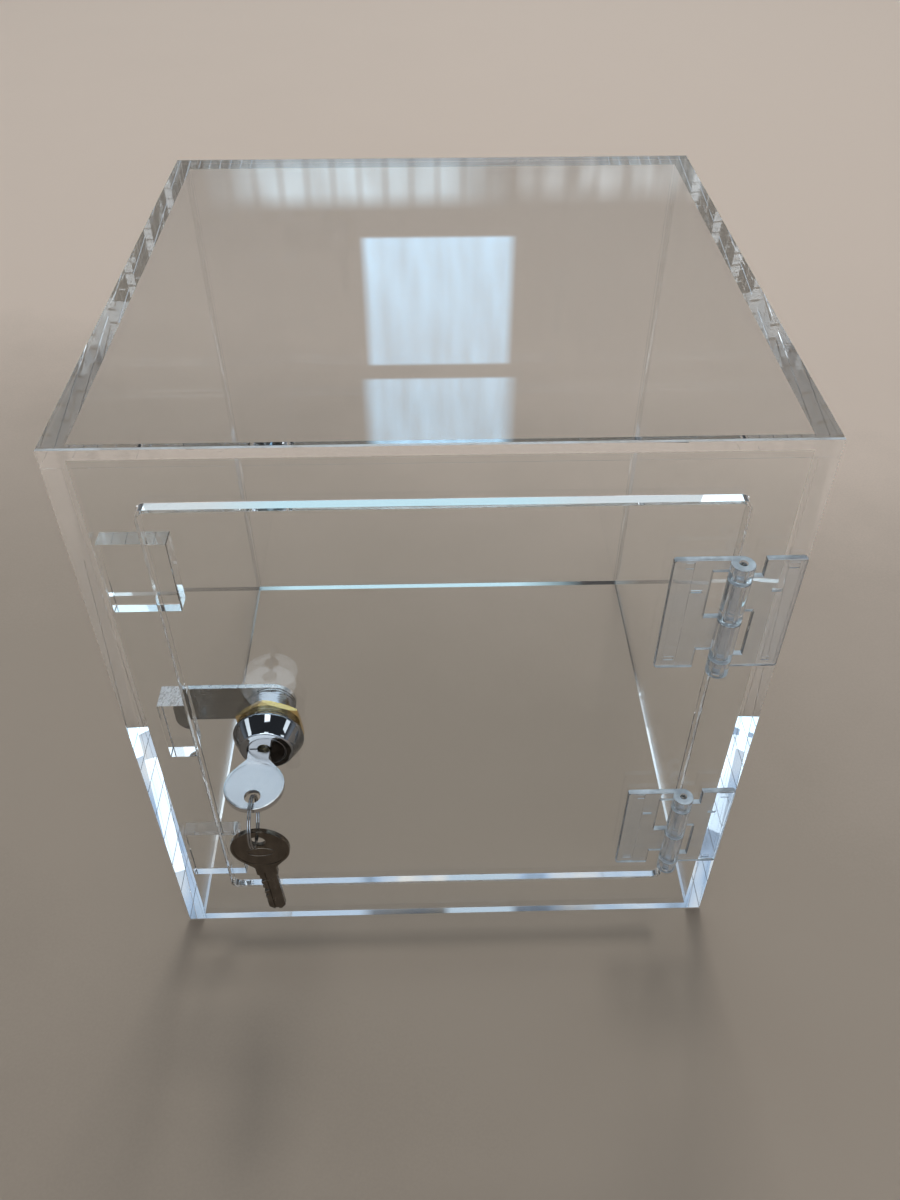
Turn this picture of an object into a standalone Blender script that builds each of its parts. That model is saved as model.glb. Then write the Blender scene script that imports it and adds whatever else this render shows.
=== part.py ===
"""Clear acrylic case with a hinged, cam-locked front door.

Units are metres and +Z is up.  The front of the case (its door) faces -Y and
+X is to the right of someone who looks at the door.  The case stands on the
plane Z = 0.  Lengths in the constants below are millimetres, measured from the
vertical line through the middle of the case; CASE_Y moves that line back so
that the origin lies under the middle of the whole object, keys included.
"""

import math

import bmesh
import bpy

for old in list(bpy.data.objects):
    bpy.data.objects.remove(old, do_unlink=True)

MM = 0.001

# ----------------------------------------------------------------- dimensions
CASE_Y = 19.6          # middle of the case behind the origin
WIDTH = 212.0          # outside, left to right
DEPTH = 212.0          # outside, front to back
HEIGHT = 232.0         # outside, floor to top
SHEET = 6.0            # acrylic sheet
GAP = 0.3              # clearance left between pieces that touch
EDGE = 0.3             # chamfer on the polished edges

OPENING = (-84.9, 85.7, 23.8, 211.8)   # left, right, bottom, top of the doorway
DOOR_GAP = 0.8
CORNER_R = 2.6

STOP_WIDTH = 20.7
STOP_HEIGHT = 26.2
STOP_THICK = 5.7
UPPER_STOP_Z = 171.2
LOWER_STOP_Z = 29.3

KEEPER = (-95.2, -86.2, -99.7, -90.9, 102.4, 128.6)

HINGE_X = 85.6         # pivot line
HINGE_Y = -110.0
LEAF_REACH = 19.5      # pivot to the outer edge of a leaf
LEAF_HEIGHT = 44.7
LEAF_THICK = 2.1
LEAF_BACK = -106.3
NOTCH_REACH = 7.3
KNUCKLE_R = 3.6
PIN_R = 1.2
PIN_BORE_R = 1.5
UPPER_HINGE_Z = 148.1
LOWER_HINGE_Z = 38.2
# knuckle ends above the foot of the leaf, bottom to top
KNUCKLES = ((0.0, 6.6), (7.0, 22.6), (23.0, 38.7), (39.1, 44.7))

LOCK_X = -59.2
LOCK_Z = 116.8
FRONT = -106.0         # front face of the sheet
BARREL_R = 7.9
BARREL_FLAT = 7.05     # lock's axis to the flats along the barrel's top and bottom
BARREL_END = -90.1
PLUG_R = 6.3
PLUG_BORE_R = 6.6
PLUG_FRONT = -112.7
PLUG_END = -90.4
KEYWAY = (-5.55, 1.15, 1.25)   # left, right of the plug's axis, half height
KEYWAY_END = -91.1
TAIL = 6.0
TAIL_END = -87.4
NUT_AF = 21.0
NUT_THICK = 2.0
CAM_WIDTH = 15.8
CAM_REACH = 33.3
CAM_FRONT = -89.0
CAM_THICK = 1.8
WAFER_Y = (-109.6, -106.6, -103.6, -100.6, -97.6)
WAFER_THICK = 1.0
WAFER_SLOT = 1.6

KEY_X = -2.4           # middle of the key beside the lock's axis
KEY_THICK = 1.9
BOW_R = 9.7
BOW_Y = -127.5
KEY_HOLE_Y = -132.0
KEY_HOLE_R = 2.6
NECK_W = 7.2
NECK_END = -113.0
BLADE_W = 5.9
BLADE_TIP = -91.4

RING_R = 8.3
RING_WIRE_R = 0.3
RING_PITCH = 0.7
RING_PIVOT = (-135.9, 116.8)
RING_DROP = 6.15
RING_LEAN = math.radians(7.0)
SPARE_DROP = 1.8
SPARE_LEAN = math.radians(3.0)

# ---------------------------------------------------------------- collections
scene = bpy.context.scene
parts = bpy.data.collections.new("acrylic_card_box")
cutters = bpy.data.collections.new("cutters")
scene.collection.children.link(parts)
scene.collection.children.link(cutters)


def material(name, colour, roughness, metallic=0.0, transmission=0.0, ior=1.49):
    m = bpy.data.materials.new(name)
    m.use_nodes = True
    m.diffuse_color = (*colour, 1.0)
    s = m.node_tree.nodes["Principled BSDF"]
    s.inputs["Base Color"].default_value = (*colour, 1.0)
    s.inputs["Roughness"].default_value = roughness
    s.inputs["Metallic"].default_value = metallic
    s.inputs["Transmission Weight"].default_value = transmission
    s.inputs["IOR"].default_value = ior
    return m


def clear(name, roughness=0.02):
    return material(name, (0.93, 0.96, 0.97), roughness, 0.0, 1.0, 1.49)


# ------------------------------------------------------------------- helpers
def at(x, y, z):
    """A point of the case, in millimetres, as a world position in metres."""
    return (x * MM, (y + CASE_Y) * MM, z * MM)


PIVOTS = {}


def pivot(name, x, y, z, parent=None):
    """An empty on a joint's axis."""
    e = bpy.data.objects.new(name, None)
    e.empty_display_size = 0.01
    parts.objects.link(e)
    w = at(x, y, z)
    p = PIVOTS[parent] if parent else (0.0, 0.0, 0.0)
    e.location = [a - b for a, b in zip(w, p)]
    if parent:
        e.parent = bpy.data.objects[parent]
    PIVOTS[name] = w
    return e


def place(ob, x, y, z, rot=(0.0, 0.0, 0.0), parent=None):
    w = at(x, y, z)
    p = PIVOTS[parent] if parent else (0.0, 0.0, 0.0)
    ob.location = [a - b for a, b in zip(w, p)]
    ob.rotation_euler = rot
    if parent:
        ob.parent = bpy.data.objects[parent]
    return ob


def add(name, mesh, mat=None, cutter=False):
    ob = bpy.data.objects.new(name, mesh)
    if cutter:
        cutters.objects.link(ob)
        ob.hide_render = True
        ob.display_type = "WIRE"
    else:
        parts.objects.link(ob)
    if mat:
        mesh.materials.append(mat)
    return ob


def box_mesh(name, sx, sy, sz):
    bm = bmesh.new()
    bmesh.ops.create_cube(bm, size=1.0)
    bmesh.ops.scale(bm, vec=(sx * MM, sy * MM, sz * MM), verts=bm.verts)
    me = bpy.data.meshes.new(name)
    bm.to_mesh(me)
    bm.free()
    return me


def box(name, x0, x1, y0, y1, z0, z1, mat=None, bevel=EDGE, parent=None, cutter=False):
    ob = add(name, box_mesh(name, x1 - x0, y1 - y0, z1 - z0), mat, cutter)
    place(ob, (x0 + x1) / 2, (y0 + y1) / 2, (z0 + z1) / 2, parent=parent)
    if bevel and not cutter:
        b = ob.modifiers.new("edges", "BEVEL")
        b.width = bevel * MM
        b.segments = 1
        b.limit_method = "ANGLE"
    return ob


def rod_mesh(name, r, length, sides=32):
    """A cylinder on Z whose middle is at the origin."""
    bm = bmesh.new()
    bmesh.ops.create_cone(bm, cap_ends=True, segments=sides, radius1=r * MM,
                          radius2=r * MM, depth=length * MM)
    me = bpy.data.meshes.new(name)
    bm.to_mesh(me)
    bm.free()
    me.shade_smooth()
    me.set_sharp_from_angle(angle=math.radians(40))
    return me


def arc(cx, cy, r, a0, a1, n):
    return [(cx + r * math.cos(math.radians(a0 + (a1 - a0) * i / n)),
             cy + r * math.sin(math.radians(a0 + (a1 - a0) * i / n)))
            for i in range(n + 1)]


def circle(cx, cy, r, n, turn=0.0):
    return [(cx + r * math.cos(math.radians(turn) + 2 * math.pi * i / n),
             cy + r * math.sin(math.radians(turn) + 2 * math.pi * i / n))
            for i in range(n)]


def rounded(x0, x1, y0, y1, r, n=4):
    return (arc(x1 - r, y0 + r, r, -90, 0, n) + arc(x1 - r, y1 - r, r, 0, 90, n)
            + arc(x0 + r, y1 - r, r, 90, 180, n) + arc(x0 + r, y0 + r, r, 180, 270, n))


def plate_mesh(name, loops, thick):
    """A flat plate in XY from a filled 2D curve; inner loops are holes."""
    cu = bpy.data.curves.new(name, "CURVE")
    cu.dimensions = "2D"
    cu.fill_mode = "BOTH"
    cu.extrude = thick * MM / 2
    for loop in loops:
        sp = cu.splines.new("POLY")
        sp.points.add(len(loop) - 1)
        for p, (x, y) in zip(sp.points, loop):
            p.co = (x * MM, y * MM, 0.0, 1.0)
        sp.use_cyclic_u = True
    return curve_to_mesh(name, cu)


def curve_to_mesh(name, cu):
    tmp = bpy.data.objects.new(name + "_outline", cu)
    scene.collection.objects.link(tmp)
    bpy.context.view_layer.update()
    dg = bpy.context.evaluated_depsgraph_get()
    me = bpy.data.meshes.new_from_object(tmp.evaluated_get(dg))
    bpy.data.objects.remove(tmp, do_unlink=True)
    bm = bmesh.new()
    bm.from_mesh(me)
    bmesh.ops.remove_doubles(bm, verts=bm.verts, dist=1e-6)
    bmesh.ops.recalc_face_normals(bm, faces=bm.faces)
    bm.to_mesh(me)
    bm.free()
    me.name = name
    me.materials.clear()
    return me


UPRIGHT = (math.pi / 2, 0.0, 0.0)   # drawn in XY, stood up to face the front


def turned(name, profile, mat, steps=32, cutter=False):
    """A closed (radius, height) profile turned about Z; it runs down its outer side."""
    me = bpy.data.meshes.new(name)
    n = len(profile)
    me.from_pydata([(r * MM, 0.0, z * MM) for r, z in profile],
                   [(i, (i + 1) % n) for i in range(n)], [])
    ob = add(name, me, mat, cutter)
    s = ob.modifiers.new("turn", "SCREW")
    s.axis = "Z"
    s.angle = 2 * math.pi
    s.steps = steps
    s.render_steps = steps
    s.use_merge_vertices = True
    s.merge_threshold = 1e-6
    s.use_smooth_shade = True
    return ob


def boolean(ob, other, op="DIFFERENCE"):
    b = ob.modifiers.new(op.lower(), "BOOLEAN")
    b.operation = op
    b.solver = "EXACT"
    b.object = other
    return b


# ------------------------------------------------------------------ the case
FULL = (-WIDTH / 2, WIDTH / 2)
WALL_TOP = HEIGHT - SHEET - GAP
INNER = WIDTH / 2 - SHEET

box("top_panel", *FULL, -DEPTH / 2, DEPTH / 2, HEIGHT - SHEET, HEIGHT,
    clear("top_panel_acrylic"))
box("left_panel", -WIDTH / 2, -INNER, -DEPTH / 2, DEPTH / 2, 0.0, WALL_TOP,
    clear("left_panel_acrylic"))
box("right_panel", INNER, WIDTH / 2, -DEPTH / 2, DEPTH / 2, 0.0, WALL_TOP,
    clear("right_panel_acrylic"))
box("back_panel", -INNER + GAP, INNER - GAP, DEPTH / 2 - SHEET, DEPTH / 2, 0.0,
    WALL_TOP, clear("back_panel_acrylic"))

ox0, ox1, oz0, oz1 = OPENING
frame = add("front_frame", plate_mesh("front_frame", [
    [(-INNER + GAP, 0.0), (INNER - GAP, 0.0), (INNER - GAP, WALL_TOP),
     (-INNER + GAP, WALL_TOP)],
    rounded(ox0, ox1, oz0, oz1, CORNER_R),
], SHEET), clear("front_frame_acrylic"))
place(frame, 0.0, FRONT + SHEET / 2, 0.0, UPRIGHT)

STOP_X0 = -INNER + GAP
for name, z0 in (("upper_stop", UPPER_STOP_Z), ("lower_stop", LOWER_STOP_Z)):
    box(name, STOP_X0, STOP_X0 + STOP_WIDTH, FRONT + SHEET + GAP,
        FRONT + SHEET + GAP + STOP_THICK, z0, z0 + STOP_HEIGHT, clear(name + "_acrylic"))
box("cam_keeper", *KEEPER, clear("cam_keeper_acrylic", 0.12))

# ------------------------------------------------------------ joint pivots
pivot("door_pivot", HINGE_X, HINGE_Y, 0.0)
pivot("lock_pivot", LOCK_X, FRONT, LOCK_Z, "door_pivot")
pivot("key_pivot", LOCK_X + KEY_X, PLUG_FRONT, LOCK_Z, "lock_pivot")
pivot("ring_pivot", LOCK_X + KEY_X, RING_PIVOT[0], RING_PIVOT[1], "key_pivot")
RING_Y = RING_PIVOT[0] - RING_DROP * math.sin(RING_LEAN)
RING_Z = RING_PIVOT[1] - RING_DROP * math.cos(RING_LEAN)
SPARE_Z = RING_Z - RING_R
pivot("spare_pivot", LOCK_X + KEY_X, RING_Y, SPARE_Z, "ring_pivot")

# ---------------------------------------------------------------- the hinges
K4, K3, K2, K1 = KNUCKLES


def leaf_outline(side):
    """Leaf plate with the notches for the other leaf's knuckles, foot at 0."""
    if side < 0:
        steps = [(0.0, K4[1] + 1.2, False), (K4[1] + 1.2, K2[0] - 1.0, True),
                 (K2[0] - 1.0, K2[1] + 1.0, False), (K2[1] + 1.0, LEAF_HEIGHT, True)]
    else:
        steps = [(0.0, K3[0] - 1.2, True), (K3[0] - 1.2, K3[1] + 1.2, False),
                 (K3[1] + 1.2, K1[0] - 1.0, True), (K1[0] - 1.0, LEAF_HEIGHT, False)]
    inner = []
    for z0, z1, reaches in steps:
        x = 0.0 if reaches else side * NOTCH_REACH
        inner += [(x, z0), (x, z1)]
    r = 1.0
    if side < 0:
        outer = arc(-LEAF_REACH + r, LEAF_HEIGHT - r, r, 90, 180, 3) \
            + arc(-LEAF_REACH + r, r, r, 180, 270, 3)
    else:
        outer = list(reversed(arc(LEAF_REACH - r, r, r, -90, 0, 3)
                              + arc(LEAF_REACH - r, LEAF_HEIGHT - r, r, 0, 90, 3)))
    return inner + outer


def leaf(name, side, foot, knuckles, parent=None):
    ob = add(name, plate_mesh(name, [leaf_outline(side)], LEAF_THICK),
             clear(name + "_acrylic", 0.04))
    y = LEAF_BACK - LEAF_THICK / 2
    place(ob, HINGE_X, y, foot, UPRIGHT, parent)
    for i, (z0, z1) in enumerate(knuckles):
        k = add(f"{name}_knuckle_{i}", rod_mesh("knuckle", KNUCKLE_R, z1 - z0, 28),
                cutter=True)
        place(k, HINGE_X, HINGE_Y, foot + (z0 + z1) / 2, (0, 0, math.radians(3.0)))
        boolean(ob, k, "UNION")
    bore = add(name + "_bore", rod_mesh("bore", PIN_BORE_R, LEAF_HEIGHT + 4, 20),
               cutter=True)
    place(bore, HINGE_X, HINGE_Y, foot + LEAF_HEIGHT / 2)
    boolean(ob, bore)
    return ob


for which, foot in (("upper", UPPER_HINGE_Z), ("lower", LOWER_HINGE_Z)):
    leaf(which + "_hinge_frame_leaf", 1, foot, (K2, K4))
    leaf(which + "_hinge_door_leaf", -1, foot, (K1, K3), "door_pivot")
    pin = add(which + "_hinge_pin", rod_mesh("pin", PIN_R, LEAF_HEIGHT - 0.8, 20),
              clear(which + "_hinge_pin_acrylic", 0.05))
    place(pin, HINGE_X, HINGE_Y, foot + LEAF_HEIGHT / 2)

# ------------------------------------------------------------------ the door
door = add("door_panel", plate_mesh("door_panel", [
    rounded(ox0 + DOOR_GAP, ox1 - DOOR_GAP, oz0 + DOOR_GAP, oz1 - DOOR_GAP, CORNER_R - 0.4),
    circle(LOCK_X, LOCK_Z, BARREL_R + GAP, 36),
], SHEET), clear("door_panel_acrylic"))
place(door, 0.0, FRONT + SHEET / 2, 0.0, UPRIGHT, "door_pivot")

# ------------------------------------------------------------------ the lock
chrome = (0.72, 0.73, 0.75)


def on_lock(ob, y, parent="lock_pivot", roll=0.0):
    """Stand a piece drawn about Z on the lock's axis, its +Z to the front."""
    return place(ob, LOCK_X, y, LOCK_Z, (math.pi / 2, roll, 0.0), parent)


# bezel and barrel: heights are in front of the sheet's front face
b = BARREL_END - FRONT
housing = turned("lock_housing", [
    (7.0, 7.2), (8.3, 7.2), (8.8, 6.95), (9.3, 6.2), (10.2, 4.6), (11.2, 3.0),
    (11.75, 1.7), (11.8, 0.8), (11.5, 0.3),
    (BARREL_R, 0.3), (BARREL_R, -b + 0.4), (BARREL_R - 0.3, -b),
    (PLUG_BORE_R, -b), (PLUG_BORE_R, 6.8),
], material("lock_housing_chrome", chrome, 0.08, 1.0), steps=36)
on_lock(housing, FRONT, "door_pivot")
# the grooves that the wafers drop into when the key is out
for side, tag in ((-1, "left"), (1, "right")):
    g = box("wafer_groove_" + tag, LOCK_X + side * 6.6 - 0.45, LOCK_X + side * 6.6 + 0.45,
            WAFER_Y[0] - 1.4, WAFER_Y[-1] + 1.4, LOCK_Z - 2.85, LOCK_Z + 2.85, cutter=True)
    boolean(housing, g)
# the two flats that keep the barrel from turning
for side, tag in ((-1, "lower"), (1, "upper")):
    z0, z1 = sorted((LOCK_Z + side * BARREL_FLAT, LOCK_Z + side * 9.0))
    f = box("barrel_flat_" + tag, LOCK_X - 9.0, LOCK_X + 9.0, FRONT, BARREL_END + 1.0,
            z0, z1, cutter=True)
    boolean(housing, f)
# the notch at the rear rim that the stop washer's lug runs in
sector = ([(5.0 * math.cos(math.radians(a)), 5.0 * math.sin(math.radians(a)))
           for a in (279, 243, 207, 171)]
          + arc(0, 0, 9.0, 171, 279, 12))
notch = add("stop_notch", plate_mesh("stop_notch", [sector], 3.0), cutter=True)
on_lock(notch, BARREL_END + 0.2, None)
boolean(housing, notch)

nut_r = NUT_AF / 2 / math.cos(math.pi / 6)
nut = add("lock_nut", plate_mesh("lock_nut", [
    circle(0, 0, nut_r, 6, 36), circle(0, 0, BARREL_R + GAP, 36),
], NUT_THICK), material("lock_nut_brass", (0.78, 0.60, 0.28), 0.22, 1.0))
on_lock(nut, FRONT + SHEET + GAP + NUT_THICK / 2, "door_pivot")
nb = nut.modifiers.new("edges", "BEVEL")
nb.width = 0.25 * MM
nb.segments = 1
nb.limit_method = "ANGLE"
nb.angle_limit = math.radians(50)

# plug: a rod with a square tail, cut for the key, the wafers and the screw
length = PLUG_END - PLUG_FRONT
plug = add("lock_plug", rod_mesh("lock_plug", PLUG_R, length, 36),
           material("lock_plug_chrome", (0.62, 0.62, 0.63), 0.12, 1.0))
on_lock(plug, (PLUG_FRONT + PLUG_END) / 2)
tail = box("plug_tail", LOCK_X - TAIL / 2, LOCK_X + TAIL / 2, PLUG_END - 2.0, TAIL_END,
           LOCK_Z - TAIL / 2, LOCK_Z + TAIL / 2, cutter=True)
boolean(plug, tail, "UNION")
kw0, kw1, kwh = KEYWAY
way = box("keyway", LOCK_X + kw0, LOCK_X + kw1, PLUG_FRONT - 2.0, KEYWAY_END,
          LOCK_Z - kwh, LOCK_Z + kwh, cutter=True)
boolean(plug, way)
bulge = add("keyway_bulge", rod_mesh("keyway_bulge", 2.3, 9.0, 20), cutter=True)
place(bulge, LOCK_X - 0.7, PLUG_FRONT + 2.5, LOCK_Z + 0.9, (math.pi / 2, 0, 0))
boolean(plug, bulge)
for i, y in enumerate(WAFER_Y):
    s = box(f"wafer_slot_{i}", LOCK_X - 8, LOCK_X + 8, y - WAFER_SLOT / 2,
            y + WAFER_SLOT / 2, LOCK_Z - 2.95, LOCK_Z + 2.95, cutter=True)
    boolean(plug, s)
    p = box(f"spring_pocket_{i}", LOCK_X - 3.2, LOCK_X + 2.4, y - 0.8, y + 0.8,
            LOCK_Z + 2.0, LOCK_Z + 4.75, cutter=True)
    boolean(plug, p)
hole = add("tail_hole", rod_mesh("tail_hole", 1.75, 6.0, 20), cutter=True)
place(hole, LOCK_X, -89.9 + 3.0, LOCK_Z, UPRIGHT)
boolean(plug, hole)

# wafers: rounded ends flush with the plug, a window for the blade, a spring lug
half = 2.7
end = math.sqrt(6.15 ** 2 - half ** 2)
swing = math.degrees(math.asin(half / 6.15))
wafer_outline = (arc(0, 0, 6.15, -swing, swing, 5)
                 + [(2.0, half), (2.0, 4.35), (0.8, 4.35), (0.8, half)]
                 + arc(0, 0, 6.15, 180 - swing, 180 + swing, 5))
window = [(-5.6, -1.25), (-5.6, 1.25), (1.2, 1.25), (1.2, -1.25)]
wafer_mesh = plate_mesh("wafer", [wafer_outline, window], WAFER_THICK)
for i, y in enumerate(WAFER_Y):
    w = add(f"wafer_{i + 1}", wafer_mesh.copy(),
            material(f"wafer_{i + 1}_brass", (0.80, 0.66, 0.36), 0.35, 1.0))
    on_lock(w, y)

    # its spring pushes the lug
    turns, per, wire = 4, 7, 0.13
    cu = bpy.data.curves.new(f"wafer_spring_{i + 1}", "CURVE")
    cu.dimensions = "3D"
    cu.bevel_depth = wire * MM
    cu.bevel_resolution = 1
    cu.use_fill_caps = True
    sp = cu.splines.new("POLY")
    n = turns * per
    sp.points.add(n)
    for k, pt in enumerate(sp.points):
        a = 2 * math.pi * k / per
        pt.co = ((-2.85 + 3.2 * k / n) * MM, 0.5 * math.cos(a) * MM,
                 0.5 * math.sin(a) * MM, 1.0)
    s = bpy.data.objects.new(f"wafer_spring_{i + 1}", cu)
    parts.objects.link(s)
    cu.materials.append(material(f"wafer_spring_{i + 1}_steel", (0.6, 0.6, 0.62), 0.3, 1.0))
    place(s, LOCK_X, y, LOCK_Z + 3.75, parent="lock_pivot")

# stop washer with its lug bent forward into the notch
washer = add("stop_washer", plate_mesh("stop_washer", [
    circle(0, 0, 7.7, 32), [(-3.25, -3.25), (3.25, -3.25), (3.25, 3.25), (-3.25, 3.25)],
], 0.5), material("stop_washer_steel", (0.66, 0.67, 0.69), 0.25, 1.0))
on_lock(washer, -89.5)
lug = add("stop_lug", plate_mesh("stop_lug", [
    arc(0, 0, 7.6, 174, 186, 3) + list(reversed(arc(0, 0, 6.95, 174, 186, 3)))], 1.5),
    cutter=True)
on_lock(lug, -90.3, None)
boolean(washer, lug, "UNION")

# cam: round about the plug, a straight arm to the left, a rounded tip
hw = CAM_WIDTH / 2
tip_r = 5.5
cam_outline = (arc(0, 0, hw, -90, 90, 16)
               + arc(-CAM_REACH + tip_r, hw - tip_r, tip_r, 90, 180, 6)
               + arc(-CAM_REACH + tip_r, -hw + tip_r, tip_r, 180, 270, 6))
cam = add("cam", plate_mesh("cam", [
    cam_outline, [(-3.25, -3.25), (3.25, -3.25), (3.25, 3.25), (-3.25, 3.25)],
], CAM_THICK), material("cam_zinc_plate", (0.66, 0.67, 0.68), 0.22, 1.0))
on_lock(cam, CAM_FRONT + CAM_THICK / 2)
cb = cam.modifiers.new("edges", "BEVEL")
cb.width = 0.2 * MM
cb.segments = 1
cb.limit_method = "ANGLE"
cb.angle_limit = math.radians(50)

back = CAM_FRONT + CAM_THICK
spring_washer = turned("cam_washer", [
    (2.1, 0.8), (4.9, 0.8), (5.1, 0.6), (5.1, 0.2), (4.9, 0.0), (2.1, 0.0),
], material("cam_washer_steel", (0.6, 0.61, 0.63), 0.3, 1.0), steps=28)
on_lock(spring_washer, back + GAP + 0.8)

# pan head screw; heights run to the front from the back of its head
screw = turned("cam_screw", [
    (0.0, 5.9), (1.2, 5.9), (1.45, 5.6), (1.45, 2.2), (3.9, 2.2), (3.95, 1.9),
    (3.75, 1.1), (3.1, 0.35), (2.2, 0.0), (0.0, 0.0),
], material("cam_screw_steel", (0.62, 0.63, 0.65), 0.25, 1.0), steps=28)
on_lock(screw, back + GAP + 0.8 + GAP + 2.2)
for k, turn in enumerate((45, -45)):
    c = add(f"cross_recess_{k}", box_mesh("cross", 4.2, 0.8, 2.6), cutter=True)
    place(c, LOCK_X, back + GAP + 0.8 + GAP + 2.2, LOCK_Z,
          (math.pi / 2, math.radians(turn), 0.0))
    boolean(screw, c)

# ------------------------------------------------------------------- the keys
def key_outline():
    """Bow, neck and blade in the key's own plane.

    The origin is where the neck meets the plug; +Y runs along the blade.
    The bitting is five notches on the left edge.
    """
    bow = BOW_Y - NECK_END
    hn, hb = NECK_W / 2, BLADE_W / 2
    tip = BLADE_TIP - NECK_END
    # the bow ends where the shoulders run into the neck
    a = 42.0
    pts = [(hn, -4.0), (hn, 0.0), (hb, 0.4)]
    pts += [(hb, tip - 2.2), (hb - 1.6, tip), (-hb + 1.6, tip), (-hb, tip - 1.6)]
    cuts = [(y - NECK_END, d) for y, d in zip(WAFER_Y, (1.5, 0.7, 1.9, 1.1, 0.5))]
    for y, d in reversed(cuts):
        pts += [(-hb, y + 0.35 + d * 0.55), (-hb + d, y + 0.35), (-hb + d, y - 0.35),
                (-hb, y - 0.35 - d * 0.55)]
    pts += [(-hb, 0.4), (-hn, 0.0), (-hn, -4.0)]
    pts += arc(0.0, bow, BOW_R, 90 + a, 450 - a, 36)
    return pts


key_hole = circle(0.0, KEY_HOLE_Y - NECK_END, KEY_HOLE_R, 28)
key_mesh = plate_mesh("key", [key_outline(), key_hole], KEY_THICK)


key = add("key", key_mesh, material("key_nickel", (0.74, 0.75, 0.77), 0.2, 1.0))
place(key, LOCK_X + KEY_X, NECK_END, LOCK_Z, parent="key_pivot")

spare = add("spare_key", key_mesh.copy())
spare.data.materials.clear()
spare.data.materials.append(material("spare_key_nickel", (0.72, 0.73, 0.74), 0.2, 1.0))
# stood on edge, bow up, and leaning on the ring's wire
grip = SPARE_DROP + (NECK_END - KEY_HOLE_Y)
spare_pos = (LOCK_X + KEY_X + grip * math.sin(SPARE_LEAN), RING_Y,
             SPARE_Z - grip * math.cos(SPARE_LEAN))
place(spare, *spare_pos, (-math.pi / 2, -SPARE_LEAN, 0.0), "spare_pivot")

# split ring: two flat turns of wire side by side with one step between them
cu = bpy.data.curves.new("key_ring", "CURVE")
cu.dimensions = "3D"
cu.bevel_depth = RING_WIRE_R * MM
cu.bevel_resolution = 2
cu.use_fill_caps = True
sp = cu.splines.new("POLY")
per = 30
n = 2 * per - 1
sp.points.add(n)
for k, pt in enumerate(sp.points):
    a = 2 * math.pi * (k + 0.5) / per + math.radians(200)
    t = min(max((k - (per - 3)) / 5.0, 0.0), 1.0)
    t = t * t * (3 - 2 * t)
    pt.co = ((-0.5 + t) * RING_PITCH * MM, RING_R * math.sin(a) * MM,
             RING_R * math.cos(a) * MM, 1.0)
ring = bpy.data.objects.new("key_ring", cu)
parts.objects.link(ring)
cu.materials.append(material("key_ring_steel", (0.70, 0.71, 0.73), 0.18, 1.0))
place(ring, LOCK_X + KEY_X, RING_Y, RING_Z, parent="ring_pivot")

bpy.context.view_layer.update()
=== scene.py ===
import math

import bmesh
import bpy
from mathutils import Euler, Matrix, Vector
from mathutils.geometry import tessellate_polygon


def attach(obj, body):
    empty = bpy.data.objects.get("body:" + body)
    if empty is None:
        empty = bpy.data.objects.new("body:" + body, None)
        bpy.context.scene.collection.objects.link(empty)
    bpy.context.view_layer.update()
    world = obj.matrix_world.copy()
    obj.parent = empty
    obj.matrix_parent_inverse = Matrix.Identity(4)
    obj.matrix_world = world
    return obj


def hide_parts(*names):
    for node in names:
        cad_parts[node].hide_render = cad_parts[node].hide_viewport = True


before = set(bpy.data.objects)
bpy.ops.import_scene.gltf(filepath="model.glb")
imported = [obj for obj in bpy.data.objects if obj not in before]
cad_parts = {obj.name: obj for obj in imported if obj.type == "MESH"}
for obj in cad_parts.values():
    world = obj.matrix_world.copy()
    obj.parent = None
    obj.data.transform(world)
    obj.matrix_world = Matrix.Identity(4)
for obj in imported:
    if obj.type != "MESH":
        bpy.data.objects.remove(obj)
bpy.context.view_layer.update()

MM = 0.001
CASE_Y = 19.6          # middle of the case behind the origin, in millimetres


def W(x, y, z):
    """A point of the case in millimetres, as a world position."""
    return Vector((x * MM, (y + CASE_Y) * MM, z * MM))


scene = bpy.context.scene

# ---------------------------------------------------------------------------
# node helpers
# ---------------------------------------------------------------------------


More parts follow.
